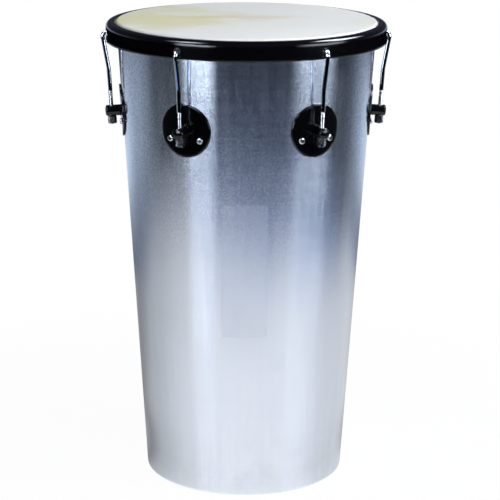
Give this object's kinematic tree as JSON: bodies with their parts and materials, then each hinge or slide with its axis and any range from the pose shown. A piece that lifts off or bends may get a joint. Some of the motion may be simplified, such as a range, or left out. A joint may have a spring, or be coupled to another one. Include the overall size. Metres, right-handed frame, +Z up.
{
  "type": "rebolo drum",
  "caption": "Conical aluminium drum, open at the bottom, with a skin head under a black counter hoop drawn down by hooked rods and nuts at round lugs on the shell.",
  "frame": {"origin": "on the floor, at the centre of the shell's open bottom", "axes": "+Z up the drum's axis towards the head; -Y is the player's side, which two lugs flank at 30 degrees each side; a lug stands on +X and on -X"},
  "size_m": [0.3416, 0.3294, 0.5481],
  "materials": {
    "bare_aluminium": "brushed round the shell",
    "natural_skin": "dry, smooth",
    "plain_steel": "plain",
    "black_enamel": "gloss",
    "chrome_rod": "polished",
    "nickel_nut": "worn plating",
    "bright_zinc": "bright zinc"
  },
  "bodies": {
    "shell_body": {"shell": "bare_aluminium", "lug_plate_1": "black_enamel", "lug_plate_2": "black_enamel", "lug_plate_3": "black_enamel", "lug_plate_4": "black_enamel", "lug_plate_5": "black_enamel", "lug_plate_6": "black_enamel", "lug_post_1": "black_enamel", "lug_post_2": "black_enamel", "lug_post_3": "black_enamel", "lug_post_4": "black_enamel", "lug_post_5": "black_enamel", "lug_post_6": "black_enamel", "lug_screws": "bright_zinc", "lug_screw_washers": "bright_zinc", "lug_screw_nuts": "bright_zinc"},
    "hoop": {"counter_hoop": "black_enamel"},
    "head": {"head_skin": "natural_skin", "flesh_hoop": "plain_steel"},
    "rod_1": {"tension_rod_1": "chrome_rod"},
    "nut_1": {"tension_nut_1": "nickel_nut"},
    "rod_2": {"tension_rod_2": "chrome_rod"},
    "nut_2": {"tension_nut_2": "nickel_nut"},
    "rod_3": {"tension_rod_3": "chrome_rod"},
    "nut_3": {"tension_nut_3": "nickel_nut"},
    "rod_4": {"tension_rod_4": "chrome_rod"},
    "nut_4": {"tension_nut_4": "nickel_nut"},
    "rod_5": {"tension_rod_5": "chrome_rod"},
    "nut_5": {"tension_nut_5": "nickel_nut"},
    "rod_6": {"tension_rod_6": "chrome_rod"},
    "nut_6": {"tension_nut_6": "nickel_nut"}
  },
  "joints": [
    {"name": "hoop_lift", "type": "slide", "parent": "shell_body", "child": "hoop", "axis": [0, 0, 1], "range_m": [0, 0.005]},
    {"name": "head_lift", "type": "slide", "parent": "shell_body", "child": "head", "axis": [0, 0, 1], "range_m": [0, 0.005]},
    {"name": "rod_1_slide", "type": "slide", "parent": "shell_body", "child": "rod_1", "axis": [-0.0308, -0.0534, 0.9981], "range_m": [0, 0.00501]},
    {"name": "nut_1_turn", "type": "hinge", "parent": "shell_body", "child": "nut_1", "pos_m": [-0.07932, -0.13739, 0.44051], "axis": [-0.0308, -0.0534, 0.9981], "range_deg": [-2255, 0]},
    {"name": "rod_2_slide", "type": "slide", "parent": "shell_body", "child": "rod_2", "axis": [0.0308, -0.0534, 0.9981], "range_m": [0, 0.00501]},
    {"name": "nut_2_turn", "type": "hinge", "parent": "shell_body", "child": "nut_2", "pos_m": [0.07932, -0.13739, 0.44051], "axis": [0.0308, -0.0534, 0.9981], "range_deg": [-2255, 0]},
    {"name": "rod_3_slide", "type": "slide", "parent": "shell_body", "child": "rod_3", "axis": [0.0617, 0, 0.9981], "range_m": [0, 0.00501]},
    {"name": "nut_3_turn", "type": "hinge", "parent": "shell_body", "child": "nut_3", "pos_m": [0.15864, 0, 0.44051], "axis": [0.0617, 0, 0.9981], "range_deg": [-2255, 0]},
    {"name": "rod_4_slide", "type": "slide", "parent": "shell_body", "child": "rod_4", "axis": [0.0308, 0.0534, 0.9981], "range_m": [0, 0.00501]},
    {"name": "nut_4_turn", "type": "hinge", "parent": "shell_body", "child": "nut_4", "pos_m": [0.07932, 0.13739, 0.44051], "axis": [0.0308, 0.0534, 0.9981], "range_deg": [-2255, 0]},
    {"name": "rod_5_slide", "type": "slide", "parent": "shell_body", "child": "rod_5", "axis": [-0.0308, 0.0534, 0.9981], "range_m": [0, 0.00501]},
    {"name": "nut_5_turn", "type": "hinge", "parent": "shell_body", "child": "nut_5", "pos_m": [-0.07932, 0.13739, 0.44051], "axis": [-0.0308, 0.0534, 0.9981], "range_deg": [-2255, 0]},
    {"name": "rod_6_slide", "type": "slide", "parent": "shell_body", "child": "rod_6", "axis": [-0.0617, 0, 0.9981], "range_m": [0, 0.00501]},
    {"name": "nut_6_turn", "type": "hinge", "parent": "shell_body", "child": "nut_6", "pos_m": [-0.15864, 0, 0.44051], "axis": [-0.0617, 0, 0.9981], "range_deg": [-2255, 0]}
  ],
  "couplings": [
    {"joint": "head_lift", "follows": "hoop_lift", "ratio": 1},
    {"joint": "rod_1_slide", "follows": "hoop_lift", "ratio": 1.0019},
    {"joint": "nut_1_turn", "follows": "hoop_lift", "rad_per_m": -7869},
    {"joint": "rod_2_slide", "follows": "hoop_lift", "ratio": 1.0019},
    {"joint": "nut_2_turn", "follows": "hoop_lift", "rad_per_m": -7869},
    {"joint": "rod_3_slide", "follows": "hoop_lift", "ratio": 1.0019},
    {"joint": "nut_3_turn", "follows": "hoop_lift", "rad_per_m": -7869},
    {"joint": "rod_4_slide", "follows": "hoop_lift", "ratio": 1.0019},
    {"joint": "nut_4_turn", "follows": "hoop_lift", "rad_per_m": -7869},
    {"joint": "rod_5_slide", "follows": "hoop_lift", "ratio": 1.0019},
    {"joint": "nut_5_turn", "follows": "hoop_lift", "rad_per_m": -7869},
    {"joint": "rod_6_slide", "follows": "hoop_lift", "ratio": 1.0019},
    {"joint": "nut_6_turn", "follows": "hoop_lift", "rad_per_m": -7869}
  ]
}
